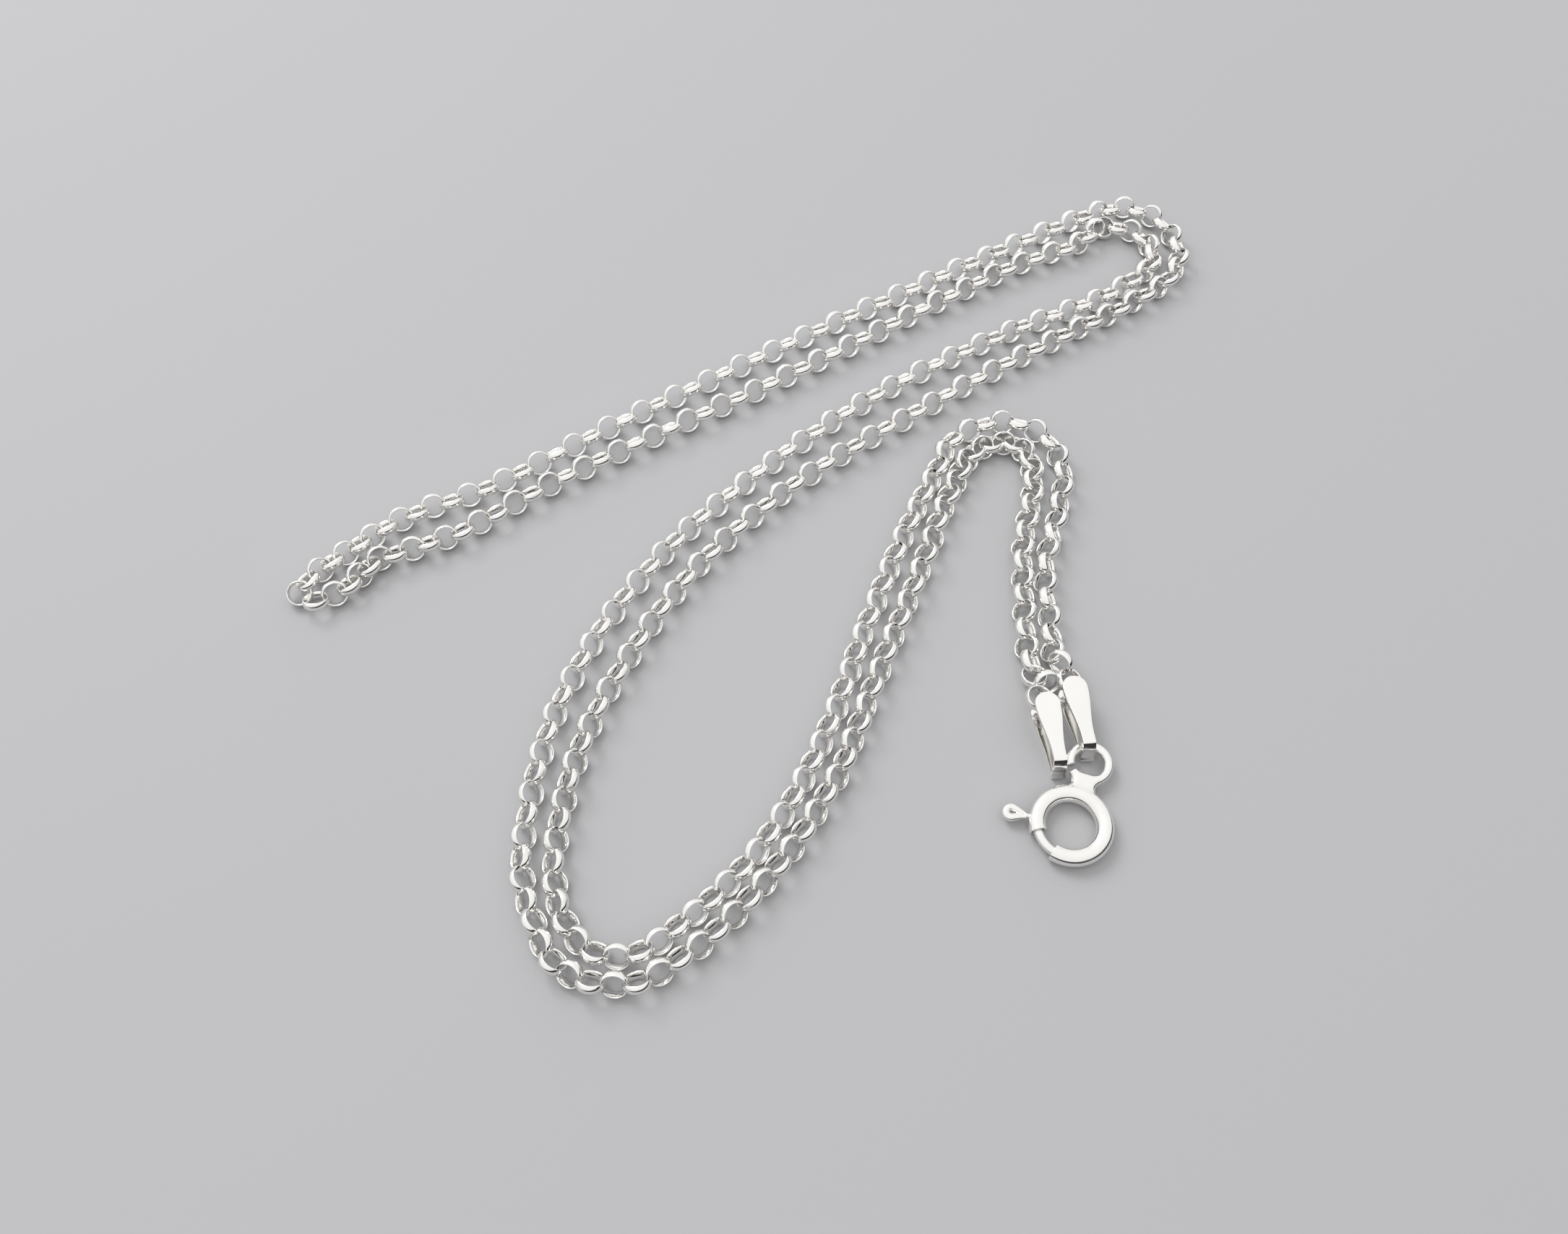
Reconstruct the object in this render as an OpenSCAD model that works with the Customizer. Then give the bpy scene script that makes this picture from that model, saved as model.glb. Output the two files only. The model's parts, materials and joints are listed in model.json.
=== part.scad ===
// Rolo chain necklace, laid out in a serpentine, with a spring ring clasp.
// Millimetres. X to the right, Y away from the viewer, Z up. Everything lies on the plane Z = 0.

/* [Links] */
// Outside diameter of a round link
link_od = 1.85; // [1.75:0.05:1.9]
// Width of the band that a link is bent from
link_w = 0.62; // [0.56:0.02:0.7]
// Thickness of the band at its middle
link_t = 0.18; // [0.15:0.01:0.22]
// Thickness of the band at its edges
link_edge_t = 0.06; // [0.04:0.01:0.1]
// How far strands lying side by side nest into each other
nest = 0.18; // [0.17:0.01:0.3]
// Lean of the two end links from lying flat
end_link_lean = 12; // [0:1:14]

/* [Tags] */
// Length of a folded tag
tag_len = 5.2; // [4.8:0.1:6]
// Width across the round head
tag_head_w = 1.6; // [1.4:0.1:1.8]
// Width at the fold
tag_fold_w = 0.85; // [0.7:0.05:1]
// Length from the head's end to where the sides run parallel
tag_taper = 3.7; // [3.4:0.1:4.4]
// Radius outside the fold's two corners
tag_fold_r = 0.35; // [0.3:0.05:0.4]
// Height over both leaves
tag_h = 1.9; // [1.85:0.05:2.2]
// Thickness of the folded strip
tag_t = 0.25; // [0.2:0.01:0.26]
// Diameter of the post between the heads
post_d = 0.5; // [0.4:0.05:0.6]
// Distance of the post's centre from the end of the head
post_inset = 0.3; // [0.28:0.02:0.4]

/* [Clasp ring] */
// Radius of the ring, to the middle of its tube
ring_r = 2.1; // [2:0.05:2.4]
// Diameter of the ring's tube
tube_d = 1.14; // [1.1:0.02:1.2]
// Wall of the ring's tube
tube_wall = 0.2; // [0.16:0.01:0.22]
// Diameter of the loop's wire
loop_wire = 0.6; // [0.5:0.05:0.7]
// Inside diameter of the loop
loop_hole = 1.8; // [1.7:0.05:2.2]
// Opening of the split in the loop
loop_split = 0.45; // [0.3:0.05:0.6]
// Height of the loop above the ring's middle plane
loop_lift = 0.1; // [0.08:0.01:0.16]
// Length of the neck between ring and loop
neck_len = 0.2; // [0.1:0.05:0.4]
// Thickness of the neck beside the ring
neck_d = 1; // [0.9:0.05:1.1]

/* [Bolt] */
// Diameter of the sprung bolt
bolt_d = 0.6; // [0.5:0.02:0.64]
// Angle that the ring's gap takes up
gap_angle = 42; // [36:1:48]
// Depth of the bolt's end in the far side of the ring, in degrees
bolt_seat = 10; // [6:1:14]
// Length of the bolt inside the ring, before the gap, in degrees
bolt_inside = 62; // [58:1:64]
// Travel of the bolt, in degrees
bolt_travel = 53; // [50:1:54]
// Diameter of the thumb-piece's wire
thumb_wire = 0.48; // [0.4:0.02:0.5]
// Width across the thumb-piece
thumb_w = 1.2; // [1.1:0.05:1.3]
// Length of the thumb-piece outside the ring
thumb_len = 1.65; // [1.5:0.05:2]
// Diameter of the thumb-piece's two legs, near the ring
leg_d = 0.4; // [0.36:0.02:0.44]
// Diameter of the stem that carries the thumb-piece through the slot
stem_d = 0.3; // [0.26:0.02:0.34]

/* [Clearances] */
// Gap between links, leaves and wires that hang in each other
loose_gap = 0.1; // [0.08:0.01:0.12]
// Gap on each side of the stem in its slot
slot_gap = 0.07; // [0.05:0.01:0.1]

/* [Hidden] */

// The chain's way over the table, chosen by hand: plan x, plan y, and the number of the link
// that lies there. Link 1 hangs in the clasp's tag and link 350 in the catch tag.
route = [
    [19.25, -10.5, 1.9], [18.75, -8, 4.1], [18.75, -3, 7.8], [20, 1.5, 11.4], [20.75, 5, 14],
    [20, 7.75, 16.1], [18, 9.25, 18], [15.5, 9.25, 20], [13, 7.75, 22.1], [11.75, 5.25, 24.2],
    [9.5, 0.5, 28.2], [6.5, -7, 34.1], [3.5, -15.25, 40.4], [1.5, -19.5, 43.9], [-1.5, -24, 47.8],
    [-5.5, -27.75, 52], [-7.5, -29.25, 53.9], [-10.5, -29.25, 56.2], [-12, -27.75, 57.8],
    [-13, -25, 60.1], [-13, -21, 63.1], [-12, -16, 67], [-9.5, -10, 71.8], [-5, -2.75, 78],
    [0.5, 3, 83.9], [11.5, 11, 93.8], [21, 17, 102],
    [28.5, 21.5, 108.7], [30.5, 23, 110.6], [31.75, 24.75, 112.3], [32, 27, 114.2], [30.5, 30, 116.9],
    [28.5, 31, 118.8], [26, 30.5, 121.1], [22, 28.5, 124.5], [12, 23, 133], [1.5, 17, 141.7],
    [-11, 9.5, 152.2], [-21.5, 3, 161.1], [-25, 1.5, 164.1], [-29, -1.5, 168.6], [-31.5, -4, 172],
    [-32, -5, 173],
    [-30.75, -5.5, 174], [-29.5, -5, 175], [-28, -3.5, 177.1], [-27, -2.25, 178.9], [-25, -1.5, 180.8],
    [-22.5, -0.5, 183.1], [-16.5, 3.5, 188.4], [1.5, 14, 203.4], [13.5, 21.5, 213.8],
    [19.5, 25, 219], [24, 27, 222.8], [26.5, 29, 226], [28.5, 28.5, 227.9], [29.75, 27, 229.8],
    [29.75, 25, 232], [27, 22.5, 235], [18, 18, 243], [8.5, 12.5, 251.2], [-1.5, 4.5, 260.5],
    [-8, -2.5, 267.6], [-12, -9, 273.1], [-14.5, -16.5, 278.9], [-15, -20.5, 281.8],
    [-15, -24.5, 284.7], [-14, -27.5, 287], [-12.5, -30, 289.2], [-10.5, -31, 290.9],
    [-7.5, -31, 293.1], [-5, -29.5, 295.2], [0.5, -24, 301], [4, -18.5, 305.8], [7, -11, 311.8],
    [10, -3.5, 317.7], [12.5, 3, 322.9], [14.5, 6.75, 327], [16, 7.5, 329.2], [17.5, 7.5, 331], [18.5, 6, 333.1],
    [18.5, 4, 335.2], [17.25, -2, 340.6], [17, -6, 343.7], [17, -10, 346.8], [17.5, -11.75, 349]
];
// Row of the route at which the chain's two halves meet, at the fold on the left
fold_row = 42;

// Outside section of the chain: crossed links stand at 45 degrees to the table
chain_h = (link_od + link_w) / sqrt(2);
chain_w = chain_h - 2 * nest;
sides = 8;

// Middle of the two end links, and the direction in which each tag runs away from them
end_clasp = [19.4, -11.65];
end_catch = [17.55, -12.8];
turn_clasp = -82.5;
turn_catch = -83.5;

link_ir = link_od / 2 - link_t;
post_r = post_d / 2;
head_r = tag_head_w / 2;
// Distances along a tag from the middle of its end link
post_at = link_ir - post_r - loose_gap;
head_end = post_at - post_inset;
fold_at = head_end + tag_len;

tube_r = tube_d / 2;
bore_r = tube_r - tube_wall;
ring_z = tube_r;
loop_z = ring_z + loop_lift;
loop_hole_r = loop_hole / 2;
loop_wire_r = loop_wire / 2;
loop_r = loop_hole_r + loop_wire_r;

// The loop hangs in the fold of its tag, clear of the fold's corners
loop_at = fold_at - tag_t + sqrt(pow(loop_hole_r - loose_gap, 2) - pow(tag_fold_w / 2, 2));
clasp_turn = 68.7;
ring_to_loop = ring_r + tube_r + neck_len + loop_r + loop_wire_r;
loop_pos = end_clasp + loop_at * along(turn_clasp);
ring_pos = loop_pos - ring_to_loop * along(clasp_turn);

// Angles round the ring, counted from the direction of its loop
gap_from = 122;
gap_to = gap_from + gap_angle;
stem_angle = 98;
bolt_tip = gap_to + bolt_seat;
bolt_tail = gap_from - bolt_inside;
stem_margin = 3;
slot_wide = stem_d + 2 * slot_gap;
slot_from = stem_angle - bolt_travel - stem_margin - half_angle(slot_wide / 2);
slot_to = stem_angle + stem_margin + half_angle(slot_wide / 2);
neck_from = -7;
neck_to = 24;
neck_r = neck_d / 2;
// Where the thumb-piece's legs meet, just clear of the ring
thumb_root = ring_r + tube_r + thumb_wire / 2 + slot_gap;
// Angles round the loop, counted the same way
split_at = 126;
split_angle = 2 * asin(loop_split / 2 / loop_r);
solder_from = 150;
solder_to = 213;

fine = 96;
small = 32;
coarse = 20;

function along(angle) = [cos(angle), sin(angle)];
function half_angle(reach) = asin(reach / (ring_r + tube_r));
function plan(row) = [route[row][0], route[row][1]];
// Mean way per link between two rows
function step(a, b) = (plan(b) - plan(a)) / (route[b][2] - route[a][2]);
// Direction of the curve through three rows, weighted by the links on each side
function heading(row) =
    row == 0 ? step(0, 1)
    : row == len(route) - 1 ? step(row - 1, row)
    : let (before = route[row][2] - route[row - 1][2], after = route[row + 1][2] - route[row][2])
        (step(row - 1, row) * after + step(row, row + 1) * before) / (before + after);
// One ring of the swept chain, flat sides left, right, above and below
function section(row) =
    let (way = heading(row) / norm(heading(row)), side = [-way[1], way[0]], corner = 180 / sides)
    [for (i = [0 : sides - 1])
        let (a = corner + i * 360 / sides, reach = chain_w / 2 * cos(a) / cos(corner))
        [plan(row)[0] + side[0] * reach, plan(row)[1] + side[1] * reach,
            chain_h / 2 * (1 + sin(a) / cos(corner))]];

// A strand of chain swept from one row of the route to another
module strand(first, last) {
    rings = last - first + 1;
    points = [for (row = [first : last]) each section(row)];
    walls = [for (r = [0 : rings - 2], i = [0 : sides - 1])
        let (j = (i + 1) % sides)
        [r * sides + i, r * sides + j, (r + 1) * sides + j, (r + 1) * sides + i]];
    start = [for (i = [sides - 1 : -1 : 0]) i];
    end = [for (i = [0 : sides - 1]) (rings - 1) * sides + i];
    polyhedron(points, concat([start], walls, [end]), convexity = 10);
}

// Half-round band bent into a ring, standing on its axis
module link() {
    outer = link_od / 2;
    drop = link_t - link_edge_t;
    crown = (pow(link_w / 2, 2) + drop * drop) / (2 * drop);
    rotate_extrude($fn = fine)
        intersection() {
            translate([outer - crown, 0])
                circle(crown, $fn = fine);
            translate([link_ir, -link_w / 2])
                square([link_t, link_w]);
        }
}

module end_link(pos, turn, lean) {
    translate([pos[0], pos[1], tag_h / 2])
        rotate([0, 0, turn])
            rotate([lean, 0, 0])
                link();
}

// Outline of a tag from above, its head at the chain's end and its fold at +X
module tag_outline() {
    head_at = head_end + head_r;
    narrow_at = head_end + tag_taper;
    slope = asin((head_r - tag_fold_w / 2) / (narrow_at - head_at));
    touch = head_at + head_r * sin(slope);
    translate([head_at, 0])
        circle(head_r, $fn = fine);
    for (side = [-1, 1])
        polygon([[touch, 0], [touch, side * head_r * cos(slope)],
            [narrow_at, side * tag_fold_w / 2], [fold_at, side * tag_fold_w / 2], [fold_at, 0]]);
}

// Side view of the folded strip: two leaves and a square fold with round outer corners
module tag_side() {
    difference() {
        union() {
            translate([head_end, 0])
                square([fold_at - head_end - tag_fold_r, tag_h]);
            translate([fold_at - tag_fold_r, tag_fold_r])
                square([tag_fold_r, tag_h - 2 * tag_fold_r]);
            for (z = [tag_fold_r, tag_h - tag_fold_r])
                translate([fold_at - tag_fold_r, z])
                    circle(tag_fold_r, $fn = small);
        }
        translate([head_end - tag_t, tag_t])
            square([fold_at - head_end, tag_h - 2 * tag_t]);
    }
}

module tag(pos, turn) {
    translate([pos[0], pos[1], 0])
        rotate([0, 0, turn])
            union() {
                intersection() {
                    linear_extrude(tag_h)
                        tag_outline();
                    rotate([90, 0, 0])
                        linear_extrude(2 * tag_head_w, center = true)
                            tag_side();
                }
                translate([head_end + post_inset, 0, tag_t / 2])
                    cylinder(h = tag_h - tag_t, r = post_r, $fn = small);
            }
}

// A round bar bent round the ring's middle
module bent_bar(radius, bar_r, from, to) {
    rotate([0, 0, from])
        rotate_extrude(angle = to - from, $fn = fine)
            translate([radius, 0])
                circle(bar_r, $fn = small);
}

module in_clasp() {
    translate([ring_pos[0], ring_pos[1], ring_z])
        rotate([0, 0, clasp_turn])
            children();
}

module loop_wire_ring() {
    translate([ring_to_loop, 0, loop_lift])
        bent_bar(loop_r, loop_wire_r, split_at + split_angle / 2 - 360, split_at - split_angle / 2);
}

// Flare of solder from the ring's tube to the loop's wire
module neck() {
    hull() {
        for (a = [neck_from, neck_to])
            rotate([0, 0, a])
                translate([ring_r, 0, 0])
                    sphere(neck_r, $fn = coarse);
        for (a = [solder_from, solder_to])
            translate([ring_to_loop, 0, loop_lift])
                rotate([0, 0, a])
                    translate([loop_r, 0, 0])
                        sphere(loop_wire_r, $fn = coarse);
    }
}

module slot_cut() {
    rotate([0, 0, slot_from])
        rotate_extrude(angle = slot_to - slot_from, $fn = fine)
            translate([ring_r, -slot_wide / 2])
                square([tube_d, slot_wide]);
}

// Teardrop of wire: a round eye and two legs that run together at the stem
module thumb_loop() {
    bend_r = (thumb_w - thumb_wire) / 2;
    eye = ring_r + tube_r + thumb_len - thumb_w / 2;
    lean = asin(bend_r / (eye - thumb_root));
    translate([eye, 0, 0])
        bent_bar(bend_r, thumb_wire / 2, 0, 360);
    for (s = [-1, 1])
        hull() {
            translate([thumb_root, 0, 0])
                sphere(leg_d / 2, $fn = coarse);
            translate([eye - bend_r * sin(lean), s * bend_r * cos(lean), 0])
                sphere(leg_d / 2, $fn = coarse);
        }
}

module chain_clasp_side() {
    color([0.86, 0.86, 0.87]) strand(0, fold_row);
}

module chain_catch_side() {
    color([0.82, 0.82, 0.84]) strand(fold_row, len(route) - 1);
}

module end_link_clasp() {
    color([0.9, 0.9, 0.9]) end_link(end_clasp, turn_clasp, end_link_lean);
}

module end_link_catch() {
    color([0.9, 0.9, 0.9]) end_link(end_catch, turn_catch, -end_link_lean);
}

module tag_clasp() {
    color([0.8, 0.81, 0.83]) tag(end_clasp, turn_clasp);
}

module tag_catch() {
    color([0.8, 0.81, 0.83]) tag(end_catch, turn_catch);
}

module clasp_ring() {
    color([0.88, 0.88, 0.89])
        in_clasp()
            difference() {
                union() {
                    bent_bar(ring_r, tube_r, gap_to - 360, gap_from);
                    neck();
                    loop_wire_ring();
                }
                rotate_extrude($fn = fine)
                    translate([ring_r, 0])
                        circle(bore_r, $fn = small);
                slot_cut();
            }
}

module bolt() {
    color([0.75, 0.76, 0.78])
        in_clasp() {
            bent_bar(ring_r, bolt_d / 2, bolt_tail, bolt_tip);
            rotate([0, 0, stem_angle]) {
                translate([ring_r, 0, 0])
                    rotate([0, 90, 0])
                        cylinder(h = thumb_root - ring_r, r = stem_d / 2, $fn = small);
                thumb_loop();
            }
        }
}

chain_clasp_side();
chain_catch_side();
end_link_clasp();
end_link_catch();
tag_clasp();
tag_catch();
clasp_ring();
bolt();
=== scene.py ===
"""Silver rolo chain with folded end tags and a spring ring clasp, laid out in a serpentine.

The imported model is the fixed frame. The chain's loose links, the tags, the clasp and its bolt
are modelled here around it, in the frame's own metres, and ride on its bodies.
"""

import json
import logging
import math
import random
from dataclasses import dataclass
from enum import Enum
from typing import Any, Callable, Iterable, Sequence

import bmesh
import bpy
from mathutils import Matrix, Vector


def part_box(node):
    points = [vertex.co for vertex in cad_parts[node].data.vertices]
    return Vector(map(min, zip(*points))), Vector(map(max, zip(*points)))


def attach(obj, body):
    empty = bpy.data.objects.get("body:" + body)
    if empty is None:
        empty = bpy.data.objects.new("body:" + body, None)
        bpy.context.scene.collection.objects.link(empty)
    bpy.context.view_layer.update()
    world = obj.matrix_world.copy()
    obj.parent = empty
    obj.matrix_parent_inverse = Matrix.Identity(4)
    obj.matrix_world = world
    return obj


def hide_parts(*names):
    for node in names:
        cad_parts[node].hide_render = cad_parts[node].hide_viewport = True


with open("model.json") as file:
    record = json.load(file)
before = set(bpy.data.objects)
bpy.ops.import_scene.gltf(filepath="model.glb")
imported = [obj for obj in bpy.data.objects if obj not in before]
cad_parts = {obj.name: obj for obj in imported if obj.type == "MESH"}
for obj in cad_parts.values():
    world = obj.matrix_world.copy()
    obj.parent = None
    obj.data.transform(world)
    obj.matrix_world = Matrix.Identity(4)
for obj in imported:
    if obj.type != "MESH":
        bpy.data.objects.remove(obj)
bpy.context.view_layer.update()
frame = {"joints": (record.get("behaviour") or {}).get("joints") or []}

log = logging.getLogger("rolo_chain")

MM = 0.001
NECKLACE = "necklace"
BOLT = "bolt"
SOLDER = "solder"


def along(degrees: float, reach: float = 1.0) -> Vector:
    """A vector in the plane of the table, by its compass angle and length."""
    return Vector((math.cos(math.radians(degrees)), math.sin(math.radians(degrees)), 0)) * reach


class Hand(Enum):
    """Which way a link's axis leans, seen along the chain."""

    LEFT = 1
    RIGHT = -1

    def other(self) -> "Hand":
        """The opposite hand."""
        return Hand(-self.value)


class Merge(Enum):
    """What a closed tool does to a piece."""

    JOIN = "UNION"
    CUT = "DIFFERENCE"


class Val:
    """A number socket of a shader that takes part in Python sums."""

    def __init__(self, sheet: "Sheet", socket: bpy.types.NodeSocket) -> None:
        """Keeps the sheet that new nodes go on, and the socket that the value comes from."""
        self.sheet = sheet
        self.socket = socket

    def _sum(self, operation: str, first: Any, second: Any) -> "Val":
        """Adds a Math node that works on two values or numbers."""
        made = self.sheet.node("ShaderNodeMath", {"operation": operation}, {0: first, 1: second})
        return Val(self.sheet, made.outputs[0])

    def __add__(self, other: Any) -> "Val":
        """self + other."""
        return self._sum("ADD", self, other)

    __radd__ = __add__

    def __sub__(self, other: Any) -> "Val":
        """self - other."""
        return self._sum("SUBTRACT", self, other)

    def __rsub__(self, other: Any) -> "Val":
        """other - self."""
        return self._sum("SUBTRACT", other, self)

    def __mul__(self, other: Any) -> "Val":
        """self * other."""
        return self._sum("MULTIPLY", self, other)

    __rmul__ = __mul__


class Sheet:
    """A material's or world's node tree, with one method that makes every node."""

    def __init__(self, tree: bpy.types.NodeTree) -> None:
        """Starts from an empty tree."""
        self.tree = tree
        tree.nodes.clear()

    def node(self, kind: str, settings: dict[str, Any], values: dict[Any, Any]) -> bpy.types.Node:
        """Makes a node, sets it up and fills its sockets.

        Args:
            kind: The node's type name.
            settings: Properties of the node; "stops" holds a ramp's positions and greys or colours.
            values: Socket name or number to a value, a socket or a Val.

        Returns:
            The new node.
        """
        made = self.tree.nodes.new(kind)
        for name, value in settings.items():
            if name == "stops":
                ramp = made.color_ramp
                while len(ramp.elements) < len(value):
                    ramp.elements.new(1.0)
                for element, (place, colour) in zip(ramp.elements, value):
                    element.position = place
                    element.color = colour if isinstance(colour, tuple) else (colour,) * 3 + (1,)
            else:
                setattr(made, name, value)
        for name, value in values.items():
            if isinstance(value, Val):
                value = value.socket
            if isinstance(value, bpy.types.NodeSocket):
                self.tree.links.new(value, made.inputs[name])
            else:
                made.inputs[name].default_value = value
        return made

    def noise(self, where: bpy.types.NodeSocket, size_mm: float, detail: float = 2.0) -> Val:
        """Smooth noise from 0 to 1 whose features are about size_mm across."""
        made = self.node("ShaderNodeTexNoise", {}, {"Vector": where, "Scale": 1 / (size_mm * MM),
                                                    "Detail": detail})
        return Val(self, made.outputs["Fac"])


@dataclass(frozen=True)
class Silver:
    """Polished silver with the small unevenness that its making leaves.

    A name that ends in _mm is the width of a pattern. The heights of ripple, grain and solder_rise are in
    millimetres too.
    """

    name: str
    light: tuple[float, float, float] = (0.97, 0.96, 0.94)
    deep: tuple[float, float, float] = (0.87, 0.855, 0.825)
    gloss: float = 0.06
    haze: float = 0.14
    cloud_mm: float = 2.4
    ripple_mm: float = 0.6
    ripple: float = 0.008
    grain_mm: float = 0.09
    grain: float = 0.0012
    grain_shade: float = 0.3
    grain_haze: float = 0.03
    solder: float = 0.0
    solder_rise: float = 0.02
    solder_dark: float = 0.25

    def material(self) -> bpy.types.Material:
        """Builds the material.

        Returns:
            A metal whose colour, roughness and surface vary with Object coordinates.
        """
        made = bpy.data.materials.new(self.name)
        made.use_nodes = True
        sheet = Sheet(made.node_tree)
        where = sheet.node("ShaderNodeTexCoord", {}, {}).outputs["Object"]
        cloud = sheet.noise(where, self.cloud_mm)
        ripple = sheet.noise(where, self.ripple_mm, detail=1.0)
        grain = sheet.noise(where, self.grain_mm, detail=3.0)
        shade = cloud * (1 - self.grain_shade) + grain * self.grain_shade
        rough = self.gloss + cloud * (self.haze - self.gloss) + grain * self.grain_haze
        height = ripple * (self.ripple * MM) + grain * (self.grain * MM)
        if self.solder:
            mark = sheet.node("ShaderNodeAttribute", {"attribute_name": SOLDER}, {})
            seam = Val(sheet, mark.outputs["Fac"])
            rough = rough + seam * grain * self.solder
            height = height + seam * grain * (self.solder_rise * MM)
            shade = shade - seam * self.solder_dark
        colour = sheet.node("ShaderNodeMix", {"data_type": "RGBA"},
                            {"Factor": shade, "A": self.deep + (1,), "B": self.light + (1,)})
        bump = sheet.node("ShaderNodeBump", {}, {"Strength": 1.0, "Distance": 1.0, "Height": height})
        shader = sheet.node("ShaderNodeBsdfPrincipled", {}, {
            "Base Color": colour.outputs["Result"], "Metallic": 1.0, "Roughness": rough,
            "Normal": bump.outputs["Normal"]})
        sheet.node("ShaderNodeOutputMaterial", {}, {"Surface": shader.outputs[0]})
        return made


CHAIN_SILVER = Silver("chain_silver", solder=0.5)
TAG_SILVER = Silver("tag_silver", ripple=0.006, ripple_mm=1.1, gloss=0.05, haze=0.13)
CLASP_SILVER = Silver("clasp_silver", ripple=0.015, ripple_mm=1.2, gloss=0.1, haze=0.18)
BOLT_SILVER = Silver("bolt_silver", ripple=0.01, ripple_mm=0.8, gloss=0.1, haze=0.18)


@dataclass(frozen=True)
class Shop:
    """Makes pieces from meshes, and melts, smooths, cuts and refines them."""

    def piece(self, name: str, mesh: bmesh.types.BMesh, finish: bpy.types.Material) -> bpy.types.Object:
        """Turns a bmesh in millimetres into a piece in metres.

        Args:
            name: The piece's name.
            mesh: The shape, which this call frees.
            finish: Its material.

        Returns:
            The object, at the origin and smooth shaded.
        """
        bmesh.ops.scale(mesh, vec=(MM, MM, MM), verts=mesh.verts)
        data = bpy.data.meshes.new(name)
        mesh.to_mesh(data)
        mesh.free()
        data.materials.append(finish)
        data.polygons.foreach_set("use_smooth", [True] * len(data.polygons))
        made = bpy.data.objects.new(name, data)
        bpy.context.scene.collection.objects.link(made)
        return made

    def bake(self, piece: bpy.types.Object) -> None:
        """Applies all modifiers of a piece to its mesh.

        Args:
            piece: The piece, which keeps its name, its material and smooth shading.
        """
        graph = bpy.context.evaluated_depsgraph_get()
        graph.update()
        done = bpy.data.meshes.new_from_object(piece.evaluated_get(graph))
        piece.modifiers.clear()
        old, name = piece.data, piece.data.name
        piece.data = done
        bpy.data.meshes.remove(old)
        done.name = name
        done.polygons.foreach_set("use_smooth", [True] * len(done.polygons))

    def soften(self, piece: bpy.types.Object, centre: Vector, radius: float, rounds: int) -> None:
        """Smooths a round region of a piece, most in its middle, as solder flows into a corner.

        The region shrinks towards half its radius from round to round, so its border fades out.

        Args:
            piece: The piece.
            centre: Middle of the region, in millimetres.
            radius: Its radius, in millimetres.
            rounds: Rounds of smoothing in its middle.
        """
        mesh = bmesh.new()
        mesh.from_mesh(piece.data)
        reach = {v.index: (v.co / MM - centre).length / radius for v in mesh.verts}
        for step in range(rounds):
            near = [v for v in mesh.verts if reach[v.index] < 1 - 0.5 * step / rounds]
            bmesh.ops.smooth_vert(mesh, verts=near, factor=0.5, use_axis_x=True, use_axis_y=True,
                                  use_axis_z=True)
        mesh.to_mesh(piece.data)
        mesh.free()

    def fuse(self, piece: bpy.types.Object, voxel_mm: float, passes: int, fillet: float = 0.0) -> None:
        """Melts overlapping shells into one skin with soft inner corners.

        Args:
            piece: The piece to melt.
            voxel_mm: Size of the grid that the new skin follows.
            passes: Rounds of smoothing.
            fillet: Radius that fills its inner corners, in millimetres.
        """
        # Growing the skin by the fillet and shrinking it back rounds each inner corner to that radius.
        for swell in ((fillet, -fillet) if fillet else (0.0,)):
            melt = piece.modifiers.new("melt", "REMESH")
            melt.mode = "VOXEL"
            melt.voxel_size = voxel_mm * MM
            if swell:
                grown = piece.modifiers.new("swell", "DISPLACE")
                grown.strength = swell * MM
                grown.mid_level = 0.0
        soften = piece.modifiers.new("soften", "CORRECTIVE_SMOOTH")
        soften.smooth_type = "LENGTH_WEIGHTED"
        soften.iterations = passes
        soften.use_only_smooth = True
        self.bake(piece)

    def combine(self, piece: bpy.types.Object, tool: bmesh.types.BMesh, merge: Merge) -> None:
        """Adds a closed shape in millimetres to a piece, or cuts it out.

        Args:
            piece: The piece to change.
            tool: The shape, which this call frees.
            merge: Whether the shape is added or cut out.
        """
        other = self.piece("tool", tool, piece.data.materials[0])
        step = piece.modifiers.new("combine", "BOOLEAN")
        step.operation = merge.value
        step.solver = "EXACT"
        step.object = other
        self.bake(piece)
        old = other.data
        bpy.data.objects.remove(other)
        bpy.data.meshes.remove(old)

    def refine(self, piece: bpy.types.Object, levels: int) -> None:
        """Rounds a piece's facets by live subdivision, alike in view and render."""
        smooth = piece.modifiers.new("smooth", "SUBSURF")
        smooth.levels = smooth.render_levels = levels


SHOP = Shop()


def add(target: bmesh.types.BMesh, place: Matrix, part: bmesh.types.BMesh) -> None:
    """Puts a finished shape into a bmesh.

    Args:
        target: The bmesh that takes it.
        place: Where it goes, in millimetres.
        part: The shape, drawn round the origin, which this call frees.
    """
    bmesh.ops.transform(part, matrix=place, verts=part.verts)
    data = bpy.data.meshes.new("part")
    part.to_mesh(data)
    part.free()
    target.from_mesh(data)
    bpy.data.meshes.remove(data)


def grow(target: bmesh.types.BMesh, place: Matrix, make: Callable[[bmesh.types.BMesh], Any]) -> None:
    """Draws a shape round the origin and puts it into a bmesh.

    Args:
        target: The bmesh that takes it.
        place: Where it goes, in millimetres.
        make: Draws the shape.
    """
    part = bmesh.new()
    make(part)
    add(target, place, part)


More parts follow.
